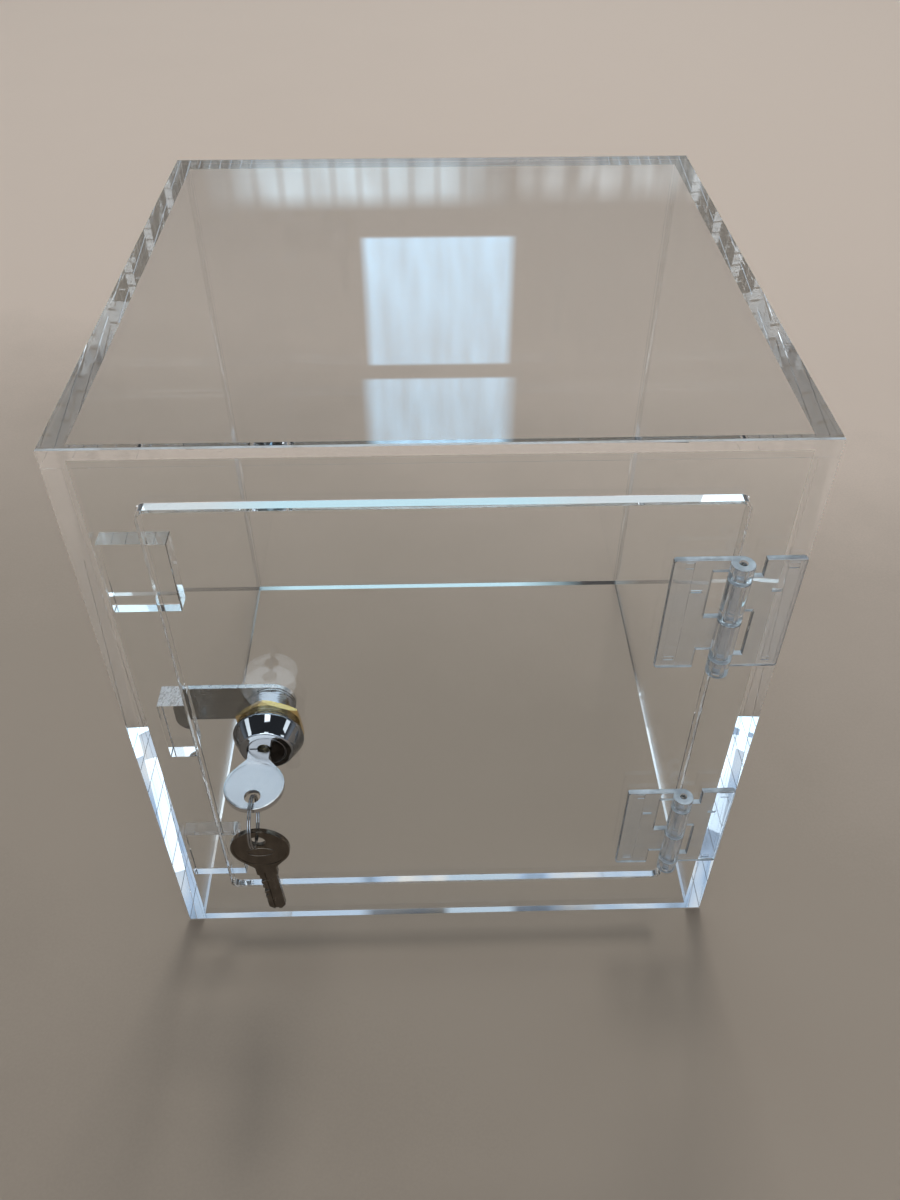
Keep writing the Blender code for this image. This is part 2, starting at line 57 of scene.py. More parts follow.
class Nodes:
    """A small wrapper that adds and links shader nodes."""

    def __init__(self, name):
        self.m = bpy.data.materials.new(name)
        self.m.use_nodes = True
        self.t = self.m.node_tree
        self.p = self.t.nodes["Principled BSDF"]

    def new(self, kind, **values):
        n = self.t.nodes.new(kind)
        for k, v in values.items():
            if hasattr(n, k):
                setattr(n, k, v)
            else:
                n.inputs[k.replace("_", " ")].default_value = v
        return n

    def link(self, a, b):
        self.t.links.new(a, b)

    def coords(self, scale=(1, 1, 1), rot=(0, 0, 0)):
        c = self.new("ShaderNodeTexCoord")
        m = self.new("ShaderNodeMapping")
        m.inputs["Scale"].default_value = scale
        m.inputs["Rotation"].default_value = rot
        self.link(c.outputs["Object"], m.inputs["Vector"])
        return m.outputs["Vector"]

    def noise(self, vec, scale, detail=3.0, rough=0.5):
        n = self.new("ShaderNodeTexNoise")
        n.inputs["Scale"].default_value = scale
        n.inputs["Detail"].default_value = detail
        n.inputs["Roughness"].default_value = rough
        self.link(vec, n.inputs["Vector"])
        return n.outputs["Fac"]

    def ramp(self, fac, stops):
        r = self.new("ShaderNodeValToRGB")
        e = r.color_ramp.elements
        while len(e) < len(stops):
            e.new(0.5)
        for el, (pos, col) in zip(e, stops):
            el.position = pos
            el.color = (*col, 1.0) if isinstance(col, tuple) else (col, col, col, 1.0)
        self.link(fac, r.inputs["Fac"])
        return r.outputs["Color"]

    def span(self, fac, lo, hi, frm=0.0, to=1.0):
        r = self.new("ShaderNodeMapRange")
        r.inputs["From Min"].default_value = frm
        r.inputs["From Max"].default_value = to
        r.inputs["To Min"].default_value = lo
        r.inputs["To Max"].default_value = hi
        self.link(fac, r.inputs["Value"])
        return r.outputs["Result"]

    def math(self, op, a, b):
        n = self.new("ShaderNodeMath")
        n.operation = op
        for i, v in enumerate((a, b)):
            if isinstance(v, (int, float)):
                n.inputs[i].default_value = v
            else:
                self.link(v, n.inputs[i])
        return n.outputs[0]

    def bump(self, height, strength, distance):
        b = self.new("ShaderNodeBump")
        b.inputs["Strength"].default_value = strength
        b.inputs["Distance"].default_value = distance
        self.link(height, b.inputs["Height"])
        self.link(b.outputs["Normal"], self.p.inputs["Normal"])
        return b


def lets_light_in(k, through):
    """Light on its way to other things goes straight through; through is its share a face."""
    path = k.new("ShaderNodeLightPath")
    clear = k.new("ShaderNodeBsdfTransparent")
    clear.inputs["Color"].default_value = (through * 0.995, through, through, 1.0)
    mix = k.new("ShaderNodeMixShader")
    k.link(k.math("MAXIMUM", path.outputs["Is Shadow Ray"], path.outputs["Is Diffuse Ray"]),
           mix.inputs[0])
    k.link(k.p.outputs["BSDF"], mix.inputs[1])
    k.link(clear.outputs["BSDF"], mix.inputs[2])
    out = [n for n in k.t.nodes if n.type == "OUTPUT_MATERIAL"][0]
    k.link(mix.outputs["Shader"], out.inputs["Surface"])
    return k.m


def acrylic(name, haze=0.0, tint=(0.988, 0.994, 0.994), marks=0.02, ripple=0.0, through=0.95,
            milk=0.0):
    """Clear sheet: sharp, with faint handling smears and dust that dull it in places."""
    k = Nodes(name)
    k.p.inputs["Transmission Weight"].default_value = 1.0
    k.p.inputs["IOR"].default_value = 1.49
    v = k.coords()
    smear = k.noise(v, 26.0, 5.0, 0.6)
    dull = k.span(smear, 0.0, marks, 0.66, 0.85)
    dust = k.new("ShaderNodeTexVoronoi")
    dust.inputs["Scale"].default_value = 170.0
    k.link(v, dust.inputs["Vector"])
    speck = k.span(dust.outputs["Distance"], 0.12, 0.0, 0.015, 0.035)
    k.link(k.math("ADD", k.math("MAXIMUM", dull, speck), haze), k.p.inputs["Roughness"])
    shade = k.noise(v, 9.0, 2.0)
    lo = tuple(c * 0.994 for c in tint)
    k.link(k.ramp(shade, [(0.3, lo), (0.7, tint)]), k.p.inputs["Base Color"])
    if milk:
        k.link(k.span(k.noise(v, 120.0, 3.0), 1.0 - milk * 1.5, 1.0 - milk * 0.5, 0.35, 0.65),
               k.p.inputs["Transmission Weight"])
    if ripple:
        k.bump(k.noise(v, 45.0, 2.0), ripple, 0.0004)
    return lets_light_in(k, through)


def polished_edge(name, lines=(900, 60, 60), haze=0.003):
    """A sheet's cut edge: polished, with the faint cutter lines that stay in it."""
    k = Nodes(name)
    k.p.inputs["Transmission Weight"].default_value = 1.0
    k.p.inputs["IOR"].default_value = 1.49
    v = k.coords(scale=lines)
    n = k.noise(v, 1.0, 4.0, 0.6)
    k.link(k.span(n, haze * 0.2, haze * 2.4, 0.35, 0.75), k.p.inputs["Roughness"])
    k.link(k.ramp(n, [(0.3, (0.965, 0.98, 0.985)), (0.7, (0.985, 0.992, 0.995))]),
           k.p.inputs["Base Color"])
    return lets_light_in(k, 0.12)


def sawn(name):
    """Acrylic left as the saw cut it: frosted, with slanting kerf lines."""
    k = Nodes(name)
    k.p.inputs["Transmission Weight"].default_value = 1.0
    k.p.inputs["IOR"].default_value = 1.49
    v = k.coords()
    lean = k.coords(scale=(2600, 260, 300), rot=(0.0, 0.0, math.radians(40)))
    scratch = k.noise(lean, 1.0, 4.0, 0.7)
    w = k.new("ShaderNodeTexWave")
    w.inputs["Scale"].default_value = 190.0
    w.inputs["Distortion"].default_value = 9.0
    w.inputs["Detail"].default_value = 4.0
    w.inputs["Detail Scale"].default_value = 3.0
    k.link(k.coords(rot=(0.0, 0.0, math.radians(35))), w.inputs["Vector"])
    n = k.noise(v, 700.0, 3.0)
    h = k.math("ADD", k.math("MULTIPLY", w.outputs["Fac"], 0.35), k.math("ADD", scratch, n))
    k.link(k.span(h, 0.66, 0.04, 0.85, 1.35), k.p.inputs["Transmission Weight"])
    k.link(k.span(h, 0.10, 0.45, 0.8, 1.5), k.p.inputs["Roughness"])
    k.link(k.ramp(scratch, [(0.35, (0.93, 0.89, 0.91)), (0.65, (1.0, 0.985, 0.99))]),
           k.p.inputs["Base Color"])
    k.bump(h, 0.4, 0.0003)
    return lets_light_in(k, 0.6)


def metal(name, dark, light, rough=(0.05, 0.12), grain=(1, 1, 1), scale=220.0,
          bump=0.04, depth=0.00005, rot=(0, 0, 0), rim=1.0):
    """Plated or bare metal with a directional grain and uneven tone; a rim below 1 paints shade towards the
    outline.
    """
    k = Nodes(name)
    k.p.inputs["Metallic"].default_value = 1.0
    v = k.coords(scale=grain, rot=rot)
    g = k.noise(v, scale, 5.0, 0.6)
    wide = k.noise(k.coords(), 90.0, 2.0)
    both = k.math("ADD", k.math("MULTIPLY", g, 0.6), k.math("MULTIPLY", wide, 0.4))
    colour = k.ramp(both, [(0.30, dark), (0.68, light)])
    if rim < 1.0:
        # painted shade: the plating's colour is darkened towards its outline as seen, standing in for the
        # darker reflection there
        facing = k.new("ShaderNodeLayerWeight")
        facing.inputs["Blend"].default_value = 0.5
        fade = k.new("ShaderNodeVectorMath")
        fade.operation = "SCALE"
        k.link(colour, fade.inputs[0])
        k.link(k.span(facing.outputs["Facing"], 1.0, rim, 0.18, 0.68), fade.inputs["Scale"])
        colour = fade.outputs[0]
    k.link(colour, k.p.inputs["Base Color"])
    k.link(k.span(both, rough[0], rough[1], 0.3, 0.7), k.p.inputs["Roughness"])
    k.bump(g, bump, depth)
    return k.m


CLEAR = acrylic("clear_acrylic_sheet")
EDGE_X = polished_edge("acrylic_edge_x", (60, 900, 900))
EDGE_Z = polished_edge("acrylic_edge_z", (900, 900, 60))
SAWN = sawn("acrylic_saw_cut")
EASED = acrylic("acrylic_eased_corner", haze=0.22, tint=(0.90, 0.96, 1.0), through=0.3, milk=0.55)
HINGE = acrylic("hinge_acrylic", haze=0.012, tint=(0.93, 0.955, 0.98), ripple=0.05, through=0.72,
                milk=0.05)
HINGE_TOP = acrylic("hinge_acrylic_rim", haze=0.10, tint=(0.88, 0.94, 1.0), ripple=0.10,
                    through=0.5, milk=0.62)
HINGE_ROLL = acrylic("hinge_acrylic_roll", haze=0.008, tint=(0.955, 0.975, 1.0), ripple=0.04,
                     through=0.6, milk=0.09)
# painted shade: a dark tint for the dark lines the light makes along the hinge leaves' upright rims
HINGE_SIDE_SHADE = acrylic("hinge_acrylic_side_painted_shade", haze=0.03, tint=(0.46, 0.48, 0.51), ripple=0.05,
                     through=0.4)
# the chrome carries painted shade towards its outline (rim)
CHROME = metal("chrome_plate", (0.40, 0.43, 0.47), (0.50, 0.53, 0.57), (0.02, 0.06),
               rim=0.22)
PLUG = metal("chrome_plate_plug", (0.19, 0.20, 0.22), (0.29, 0.30, 0.32), (0.02, 0.06),
             scale=160.0, bump=0.03)
BRASS = metal("nut_brass", (0.66, 0.46, 0.17), (0.86, 0.65, 0.30), (0.16, 0.30),
              grain=(3, 1, 3), scale=300.0, bump=0.12)
BRASS_SOFT = metal("wafer_brass", (0.70, 0.54, 0.24), (0.84, 0.70, 0.40), (0.22, 0.38),
                   grain=(1, 6, 1))
STEEL = metal("zinc_plate", (0.20, 0.20, 0.19), (0.33, 0.33, 0.32), (0.16, 0.30),
              grain=(1, 14, 14), scale=160.0, bump=0.08)
SCREW = metal("screw_zinc", (0.50, 0.52, 0.53), (0.68, 0.69, 0.70), (0.18, 0.34), scale=260.0)
NICKEL = metal("key_nickel", (0.56, 0.565, 0.58), (0.65, 0.655, 0.67), (0.18, 0.28),
               grain=(3, 1, 3), scale=160.0, bump=0.03)
NICKEL_2 = metal("spare_key_nickel", (0.10, 0.083, 0.068), (0.21, 0.18, 0.15), (0.18, 0.30),
                 grain=(3, 3, 1), scale=160.0, bump=0.05)
WIRE = metal("ring_steel", (0.26, 0.265, 0.275), (0.40, 0.405, 0.415), (0.06, 0.14),
             grain=(8, 1, 1), scale=300.0)

# ---------------------------------------------------------------------------
# mesh helpers; shapes are drawn in the case's millimetres
# ---------------------------------------------------------------------------


def to_object(name, bm, *mats):
    me = bpy.data.meshes.new(name)
    bm.to_mesh(me)
    bm.free()
    ob = bpy.data.objects.new(name, me)
    scene.collection.objects.link(ob)
    for m in mats:
        me.materials.append(m)
    return ob


def block(name, x0, x1, y0, y1, z0, z1, bevel=0.0, segs=1):
    """A block in a drawing's own millimetres, before the drawing is put in place."""
    bm = bmesh.new()
    bmesh.ops.create_cube(bm, size=1.0)
    bmesh.ops.scale(bm, vec=((x1 - x0) * MM, (y1 - y0) * MM, (z1 - z0) * MM), verts=bm.verts)
    bmesh.ops.translate(bm, vec=((x0 + x1) * MM / 2, (y0 + y1) * MM / 2, (z0 + z1) * MM / 2),
                        verts=bm.verts)
    if bevel:
        bmesh.ops.bevel(bm, geom=bm.edges[:], offset=bevel * MM, segments=segs, profile=0.5,
                        affect="EDGES")
    return to_object(name, bm)


def box(name, x0, x1, y0, y1, z0, z1, bevel=0.25, segs=1):
    ob = block(name, x0, x1, y0, y1, z0, z1, bevel, segs)
    ob.data.transform(Matrix.Translation(W(0, 0, 0)))
    return ob


def arc(cx, cy, r, a0, a1, n):
    return [(cx + r * math.cos(math.radians(a0 + (a1 - a0) * i / n)),
             cy + r * math.sin(math.radians(a0 + (a1 - a0) * i / n))) for i in range(n + 1)]


def circle(cx, cy, r, n, turn=0.0):
    return arc(cx, cy, r, turn, turn + 360.0, n)[:-1]


def rounded(x0, x1, y0, y1, r, n=8):
    return (arc(x1 - r, y0 + r, r, -90, 0, n) + arc(x1 - r, y1 - r, r, 0, 90, n)
            + arc(x0 + r, y1 - r, r, 90, 180, n) + arc(x0 + r, y0 + r, r, 180, 270, n))


def inset(loop, d):
    """Moves a loop's corners by d towards its left, where the material is."""
    out = []
    for i, (x, y) in enumerate(loop):
        (px, py), (qx, qy) = loop[i - 1], loop[(i + 1) % len(loop)]
        a = Vector((x - px, y - py)).normalized()
        b = Vector((qx - x, qy - y)).normalized()
        n, m = Vector((-a.y, a.x)), Vector((-b.y, b.x))
        k = (n + m) * (d / max(1.0 + n.dot(m), 0.3))
        out.append((x + k.x, y + k.y))
    return out


def signed_area(loop):
    return sum(x * loop[(i + 1) % len(loop)][1] - y * loop[(i + 1) % len(loop)][0]
               for i, (x, y) in enumerate(loop)) / 2


def plate(name, loops, thick, matrix, bevel=0.2, segs=2):
    """A flat plate drawn in XY, its rims rounded over, then put in place by matrix.

    The first loop is the outline and the others are holes.
    """
    loops = [list(lp) if (signed_area(lp) > 0) == (i == 0) else list(reversed(lp))
             for i, lp in enumerate(loops)]
    h = thick / 2
    if bevel:
        steps = [math.radians(90 * j / segs) for j in range(segs + 1)]
        up_side = [(bevel * (1 - math.cos(t)), h - bevel + bevel * math.sin(t)) for t in steps]
    else:
        up_side = [(0.0, h)]
    rows = [(d, -z) for d, z in reversed(up_side)] + up_side
    bm = bmesh.new()
    grid = []
    for d, z in rows:
        row = []
        for loop in loops:
            row.append([bm.verts.new((x * MM, y * MM, z * MM))
                        for x, y in (inset(loop, d) if d else loop)])
        grid.append(row)
    for low, high in zip(grid, grid[1:]):
        for p, q in zip(low, high):
            for i in range(len(p)):
                j = (i + 1) % len(p)
                bm.faces.new((p[i], p[j], q[j], q[i]))
    for row, turn in ((grid[0], -1), (grid[-1], 1)):
        flat = [v for lp in row for v in lp]
        for tri in tessellate_polygon([[v.co.copy() for v in lp] for lp in row]):
            bm.faces.new([flat[i] for i in tri][::turn])
    bmesh.ops.recalc_face_normals(bm, faces=bm.faces)
    bmesh.ops.transform(bm, matrix=matrix, verts=bm.verts)
    return to_object(name, bm)


def upright(y, x=0.0, z=0.0):
    """Stands an XY drawing up to face the front, at depth y."""
    return Matrix.Translation(W(x, y, z)) @ Matrix.Rotation(math.pi / 2, 4, "X")


def lathe(name, prof, n, matrix, *mats, closed=True):
    """Turns a (radius, height) profile about Z, then puts it in place by matrix."""
    bm = bmesh.new()
    rings = []
    for r, z in prof:
        if r < 1e-6:
            rings.append([bm.verts.new((0, 0, z * MM))])
        else:
            rings.append([bm.verts.new((r * MM * math.cos(2 * math.pi * i / n),
                                        r * MM * math.sin(2 * math.pi * i / n), z * MM))
                          for i in range(n)])
    pairs = list(zip(rings, rings[1:] + rings[:1])) if closed else list(zip(rings, rings[1:]))
    for a, b in pairs:
        if len(a) == 1 and len(b) == 1:
            continue
        for i in range(n):
            j = (i + 1) % n
            if len(a) == 1:
                bm.faces.new((a[0], b[j], b[i]))
            elif len(b) == 1:
                bm.faces.new((a[i], a[j], b[0]))
            else:
                bm.faces.new((a[i], a[j], b[j], b[i]))
    bmesh.ops.recalc_face_normals(bm, faces=bm.faces)
    bmesh.ops.transform(bm, matrix=matrix, verts=bm.verts)
    return to_object(name, bm, *mats)


def combine(ob, others, op):
    """Boolean with each of the others in turn; they are used up."""
    for o in others:
        m = ob.modifiers.new(op.lower(), "BOOLEAN")
        m.operation = op
        m.solver = "EXACT"
        m.object = o
        bpy.context.view_layer.update()
        me = bpy.data.meshes.new_from_object(
            ob.evaluated_get(bpy.context.evaluated_depsgraph_get()))
        ob.modifiers.clear()
        old = ob.data
        ob.data = me
        bpy.data.meshes.remove(old)
        bpy.data.objects.remove(o, do_unlink=True)
    return ob


def join_up(ob, *others):
    return combine(ob, others, "UNION")


def cut(ob, *others):
    return combine(ob, others, "DIFFERENCE")


def tidy(ob, dist=2e-6):
    bm = bmesh.new()
    bm.from_mesh(ob.data)
    bmesh.ops.remove_doubles(bm, verts=bm.verts, dist=dist)
    bmesh.ops.dissolve_degenerate(bm, edges=bm.edges, dist=dist)
    bm.to_mesh(ob.data)
    bm.free()
    return ob


def smooth(ob, angle=35.0):
    """Smooth shading that keeps the broad flat faces truly flat beside their rounded rims."""
    ob.data.shade_smooth()
    ob.data.set_sharp_from_angle(angle=math.radians(angle))
    w = ob.modifiers.new("weighted", "WEIGHTED_NORMAL")
    w.mode = "FACE_AREA"
    w.weight = 50
    w.keep_sharp = True
    bpy.context.view_layer.update()
    me = bpy.data.meshes.new_from_object(
        ob.evaluated_get(bpy.context.evaluated_depsgraph_get()))
    ob.modifiers.clear()
    old = ob.data
    ob.data = me
    bpy.data.meshes.remove(old)
    return ob


def paint(ob, mats, pick):
    """Gives each face a material slot chosen from its middle (millimetres) and normal."""
    ob.data.materials.clear()
    for m in mats:
        ob.data.materials.append(m)
    for f in ob.data.polygons:
        c = f.center
        f.material_index = pick(c.x / MM, c.y / MM - CASE_Y, c.z / MM, f.normal)
    return ob


# ---------------------------------------------------------------------------
# the case: five welded sheets, with stops and keeper, are one clear solid
# ---------------------------------------------------------------------------
HALF, INNER, HEIGHT, SHEET = 106.0, 100.0, 232.0, 6.0
OX0, OX1, OZ0, OZ1 = -84.9, 85.7, 23.8, 211.8
DOOR_GAP = 0.8
FRONT = -106.0
W_EDGE = 0.12
LAP = 0.14

shell = box("case_shell", -HALF, HALF, -HALF, HALF, HEIGHT - SHEET, HEIGHT, W_EDGE)
left = box("left", -HALF, -INNER, -HALF, HALF, 0, HEIGHT - SHEET + LAP, W_EDGE)
right = box("right", INNER, HALF, -HALF, HALF, 0, HEIGHT - SHEET + LAP, W_EDGE)
rear = box("rear", -INNER - LAP, INNER + LAP, INNER, HALF, 0, HEIGHT - SHEET + LAP, W_EDGE)
front = plate("front", [
    [(-INNER - LAP, 0), (INNER + LAP, 0), (INNER + LAP, HEIGHT - SHEET + LAP),
     (-INNER - LAP, HEIGHT - SHEET + LAP)],
    rounded(OX0, OX1, OZ0, OZ1, 2.6)], SHEET, upright(FRONT + SHEET / 2), W_EDGE, 1)
up_stop = box("up_stop", -99.4, -79.0, FRONT + SHEET - 0.3, -94.0, 171.2, 197.3, 0.2)
low_stop = box("low_stop", -99.4, -78.8, FRONT + SHEET - 0.3, -94.0, 29.2, 55.5, 0.2)
keeper = box("keeper", -95.2, -86.2, FRONT + SHEET - 0.3, -90.9, 102.4, 128.6, 0.2)
join_up(shell, left, right, rear, front, up_stop, low_stop, keeper)
# the top sheet's upper rims are eased by the scraper
EASE = 0.42
for spot, long_x, turn in (((0, -HALF, HEIGHT), True, 45), ((0, HALF, HEIGHT), True, 45),
                           ((-HALF, 0, HEIGHT), False, 45), ((HALF, 0, HEIGHT), False, 45)):
    half = HALF + 3
    edge = block("ease", *((-half, half) if long_x else (-1, 1)),
                 *((-1, 1) if long_x else (-half, half)), -1, 1)
    out = Vector(((spot[0] > 0) - (spot[0] < 0), (spot[1] > 0) - (spot[1] < 0), 1.0)).normalized()
    centre = Vector(spot) + out * (1.0 - EASE / math.sqrt(2))
    edge.data.transform(Matrix.Translation(W(*centre))
                        @ Matrix.Rotation(math.radians(turn), 4, "X" if long_x else "Y"))
    cut(shell, edge)
tidy(shell)


def shell_slot(x, y, z, n):
    if z > HEIGHT - 0.5 and 0.6 < n.z < 0.8 and 0.6 < abs(n.y) < 0.8:
        return 4
    if z > HEIGHT - SHEET - 0.1 and abs(n.z) < 0.5:
        return 1 if abs(n.y) > 0.5 else 2
    if -100.0 < y and -95.2 <= x <= -86.2 and 102 < z < 129 and y < -90 and abs(n.y) < 0.9:
        return 3 if n.z > -0.6 else 1
    if z < 1.0:
        return 0
    if abs(x) > INNER and abs(n.y) > 0.5 and abs(y) > HALF - 0.3:
        return 2
    if -HALF < y < -INNER + 6.5 and -100 < x < 100 and abs(n.y) < 0.5:
        return 1 if abs(n.z) > 0.5 else 2
    return 0


paint(shell, (CLEAR, EDGE_X, EDGE_Z, SAWN, EASED), shell_slot)
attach(shell, "case")
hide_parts("top_panel", "left_panel", "right_panel", "back_panel", "front_frame",
            "upper_stop", "lower_stop", "cam_keeper")

# ---------------------------------------------------------------------------
# the door
# ---------------------------------------------------------------------------
LOCK_X, LOCK_Z = -59.2, 116.8

door = plate("door_sheet", [
    rounded(OX0 + DOOR_GAP, OX1 - DOOR_GAP, OZ0 + DOOR_GAP, OZ1 - DOOR_GAP, 2.4),
    circle(LOCK_X, LOCK_Z, 8.15, 72)], SHEET, upright(FRONT + SHEET / 2), W_EDGE, 1)
paint(door, (CLEAR, EDGE_X, EDGE_Z),
      lambda x, y, z, n: 0 if abs(n.y) > 0.5 else (1 if abs(n.z) > 0.5 else 2))
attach(door, "door")
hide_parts("door_panel")

def finish_piece(ob, body, node, mat, angle=38.0):
    """Shades a piece, gives it its one material and sets it in the frame."""
    ob.data.materials.clear()
    ob.data.materials.append(mat)
    for f in ob.data.polygons:
        f.material_index = 0
    smooth(tidy(ob), angle)
    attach(ob, body)
    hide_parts(node)
    return ob


# ---------------------------------------------------------------------------
# the hinges: moulded leaves with rolled-over knuckles, and their pins
# ---------------------------------------------------------------------------
HX, HY = 85.6, -110.0
TALL, REACH, NOTCH = 44.7, 19.5, 7.3
K4, K3, K2, K1 = (0.0, 6.6), (7.0, 22.6), (23.0, 38.7), (39.1, 44.7)
LEAF_BACK, LEAF_FRONT = -106.3, -108.4


def turned_bar(name, r, z0, z1, fillet, n, x=HX, y=HY, foot=0.0):
    """A round bar standing at x, y, with its rims rounded over."""
    low = [(r - fillet + fillet * math.sin(math.radians(t)),
            z0 + fillet - fillet * math.cos(math.radians(t))) for t in (0, 22, 45, 68, 90)]
    high = [(q, z0 + z1 - z) for q, z in reversed(low)]
    return lathe(name, [(0.0, z0)] + low + high + [(0.0, z1)], n,
                 Matrix.Translation(W(x, y, foot)), closed=False)


def leaf_outline(side):
    """The leaf's plate, notched for the other leaf's knuckles; side is -1 for the door's."""
    if side < 0:
        steps = [(0.0, K4[1] + 1.2, False), (K4[1] + 1.2, K2[0] - 1.0, True),
                 (K2[0] - 1.0, K2[1] + 1.0, False), (K2[1] + 1.0, TALL, True)]
    else:
        steps = [(0.0, K3[0] - 1.2, True), (K3[0] - 1.2, K3[1] + 1.2, False),
                 (K3[1] + 1.2, K1[0] - 1.0, True), (K1[0] - 1.0, TALL, False)]
    inner = []
    for z0, z1, reaches in steps:
        x = 0.0 if reaches else side * NOTCH
        inner += [(x, z0), (x, z1)]
    r = 1.1
    if side < 0:
        outer = arc(-REACH + r, TALL - r, r, 90, 180, 6) + arc(-REACH + r, r, r, 180, 270, 6)
    else:
        outer = list(reversed(arc(REACH - r, r, r, -90, 0, 6)
                              + arc(REACH - r, TALL - r, r, 0, 90, 6)))
    return inner + outer


def hinge_leaf(node, body, side, foot, knuckles):
    mid = (LEAF_BACK + LEAF_FRONT) / 2
    ob = plate(node + "_moulding", [leaf_outline(side)], LEAF_BACK - LEAF_FRONT,
               upright(mid, HX, foot), 0.62, 4)
    for z0, z1 in knuckles:
        join_up(ob, turned_bar("knuckle", 3.6, z0, z1, 0.5, 56, foot=foot))
    cutters = [turned_bar("bore", 1.36, -2.0, TALL + 2.0, 0.2, 40, foot=foot)]
    # the shallow channel down the leaf and the moulding marks beside it
    near, far = (13.3, 17.5) if side < 0 else (13.9, 18.1)
    x0, x1 = sorted((HX + side * near, HX + side * far))
    cutters.append(box("channel", x0, x1, LEAF_FRONT - 1.0, LEAF_FRONT + 0.28,
                       foot + 0.8, foot + TALL - 0.8, 0.0))
    if side < 0:
        marks = ((71.0, 42.2, 2.4, 2.2), (74.3, 32.4, 3.2, 0.9), (70.2, 4.2, 3.0, 1.5))
    else:
        marks = ((101.5, 42.0, 2.8, 2.2), (98.3, 32.5, 3.2, 0.9), (100.9, 3.4, 2.4, 1.3))
    for x, z, w, h in marks:
        cutters.append(box("mark", x - w / 2, x + w / 2, LEAF_FRONT - 1.0, LEAF_FRONT + 0.62,
                           foot + z - h / 2, foot + z + h / 2, 0.0))
    cut(ob, *cutters)
    finish_piece(ob, body, node, HINGE)
    # the leaf's own top and bottom rims and its upright ones show differently; the upright rims get painted
    # shade, a dark tint for the dark lines along them
    ob.data.materials.append(HINGE_TOP)
    ob.data.materials.append(HINGE_SIDE_SHADE)
    ob.data.materials.append(HINGE_ROLL)
    for f in ob.data.polygons:
        c = f.center
        away = math.hypot(c.x / MM - HX, c.y / MM - CASE_Y - HY)
        if away < 3.65:
            f.material_index = 1 if abs(f.normal.z) > 0.8 else 3
        if c.y / MM - CASE_Y > LEAF_FRONT + 0.02 and away > 3.7 and abs(f.normal.y) < 0.93:
            f.material_index = 1 if abs(f.normal.z) > 0.5 else 2
    return ob


def hinge_pin(node, foot):
    """The pin, its two ends domed round a small gate dimple."""
    top = [(0.0, 43.95), (0.3, 44.0), (0.55, 44.2), (0.78, 44.3), (1.02, 44.24), (1.16, 44.08),
           (1.2, 43.9)]
    foot_end = [(1.2, 0.8), (1.16, 0.6), (1.02, 0.46), (0.78, 0.4), (0.0, 0.4)]
    ob = lathe(node + "_rod", top + foot_end, 48, Matrix.Translation(W(HX, HY, foot)),
               closed=False)
    return finish_piece(ob, "case", node, HINGE)


for which, foot in (("upper", 148.1), ("lower", 38.2)):
    hinge_leaf(which + "_hinge_frame_leaf", "case", 1, foot, (K2, K4))
    hinge_leaf(which + "_hinge_door_leaf", "door", -1, foot, (K1, K3))
    hinge_pin(which + "_hinge_pin", foot)

# ---------------------------------------------------------------------------
# the lock; turned profiles are (radius, height in front of the sheet's face)
# ---------------------------------------------------------------------------
BARREL, BORE, BARREL_END = 7.9, 6.6, -90.1
ON_LOCK = upright(FRONT, LOCK_X, LOCK_Z)


def on_lock(y):
    return upright(y, LOCK_X, LOCK_Z)


tail_h = FRONT - BARREL_END
face = [(6.42, 6.6), (6.44, 6.98), (6.5, 7.12), (6.64, 7.19), (8.2, 7.2), (8.52, 7.14),
        (8.78, 6.96), (8.95, 6.7)]
cone = [(8.98 + 2.72 * t + 0.22 * t * (1 - t), 6.62 - 4.86 * t + 0.34 * t * (1 - t))
        for t in (i / 9 for i in range(10))]
rim = [(11.79, 1.5), (11.84, 1.15), (11.82, 0.8), (11.72, 0.5), (11.5, 0.32), (8.0, 0.3)]
thread = []
for i in range(15):
    h = -0.1 - i
    thread += [(BARREL, h), (BARREL, h - 0.16), (7.45, h - 0.46), (7.45, h - 0.6),
               (BARREL, h - 0.9)]
housing = lathe("lock_bezel_and_barrel",
                face + cone + rim + thread
                + [(BARREL, tail_h + 0.5), (7.6, tail_h + 0.05), (7.4, tail_h), (BORE, tail_h),
                   (BORE, 6.4)],
                128, ON_LOCK)
notch_outline = ([(5.0 * math.cos(math.radians(t)), 5.0 * math.sin(math.radians(t)))
                  for t in (279, 243, 207, 171)] + arc(0, 0, 9.0, 171, 279, 24))
cut(housing,
    box("flat_above", LOCK_X - 9, LOCK_X + 9, FRONT - 0.1, -88.0, LOCK_Z + 7.05, LOCK_Z + 9, 0.0),
    box("flat_below", LOCK_X - 9, LOCK_X + 9, FRONT - 0.1, -88.0, LOCK_Z - 9, LOCK_Z - 7.05, 0.0),
    plate("stop_notch", [notch_outline], 3.0, on_lock(BARREL_END + 0.2), 0.0))
finish_piece(housing, "door", "lock_housing", CHROME, 32.0)

NUT_R = 10.5 / math.cos(math.pi / 6)
nut = plate("lock_hexagon_nut", [circle(0, 0, NUT_R, 6, 36), circle(0, 0, 8.2, 72)], 2.0,
            on_lock(-98.7), 0.0)
combine(nut, [lathe("nut_chamfer", [(0.0, 1.0), (10.9, 1.0), (12.3, 0.2), (12.3, -0.2),
                                    (10.9, -1.0), (0.0, -1.0)], 96, on_lock(-98.7),
                    closed=False)], "INTERSECT")
finish_piece(nut, "door", "lock_nut", BRASS, 25.0)

